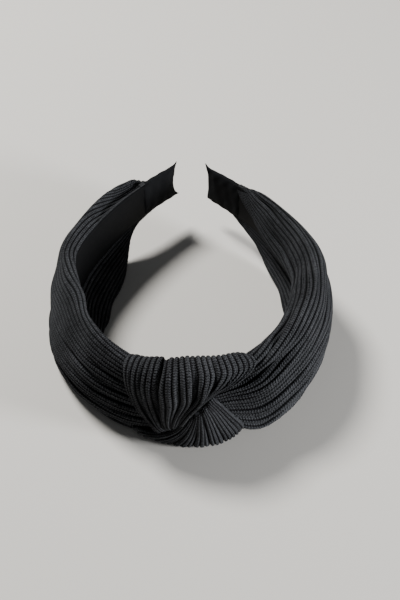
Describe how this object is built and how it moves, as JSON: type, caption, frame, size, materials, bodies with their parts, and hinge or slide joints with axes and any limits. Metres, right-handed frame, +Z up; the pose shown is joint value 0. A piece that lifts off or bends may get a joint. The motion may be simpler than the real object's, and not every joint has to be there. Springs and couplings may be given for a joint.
{
  "type": "knotted headband",
  "caption": "Springy open-ended hoop hairband with a puffed ribbed-knit cover gathered into a knot at the crown, a smooth lining and flat cloth tips.",
  "frame": {"origin": "centre of the headband's box in X and Y, on the surface that it stands on", "axes": "+Z up from the lower edge of the cover to its upper edge, +Y from the knot at the crown towards the two open tips, +X towards the right tip as seen with the knot in front"},
  "size_m": [0.147, 0.1662, 0.057],
  "materials": {
    "core_plastic": "matte",
    "lining_cloth": "smooth tight cloth with a faint sheen",
    "sleeve_cloth": "plain woven, matte",
    "rib_knit": "ribbed knit, matte",
    "sewing_thread": "twisted thread"
  },
  "bodies": {
    "crown": {"core_crown": "core_plastic", "lining_crown": "lining_cloth", "knot_strand": "rib_knit", "knot_upper_wrap": "rib_knit", "knot_lower_wrap": "rib_knit", "knot_seam_stitches": "sewing_thread"},
    "left_arm": {"core_left_arm": "core_plastic", "lining_left_arm": "lining_cloth", "left_wing_cover": "rib_knit", "left_tip_sleeve": "sleeve_cloth", "left_end_tack": "sewing_thread"},
    "right_arm": {"core_right_arm": "core_plastic", "lining_right_arm": "lining_cloth", "right_wing_cover": "rib_knit", "right_tip_sleeve": "sleeve_cloth", "right_end_tack": "sewing_thread"}
  },
  "joints": [
    {"name": "left_arm_flex", "type": "hinge", "parent": "crown", "child": "left_arm", "pos_m": [-0.02902, -0.05941, 0.032], "axis": [0, 0, 1], "range_deg": [-3, 22], "stiffness_Nm_per_rad": 1.2},
    {"name": "right_arm_flex", "type": "hinge", "parent": "crown", "child": "right_arm", "pos_m": [0.02902, -0.05941, 0.032], "axis": [0, 0, -1], "range_deg": [-3, 22], "stiffness_Nm_per_rad": 1.2}
  ]
}
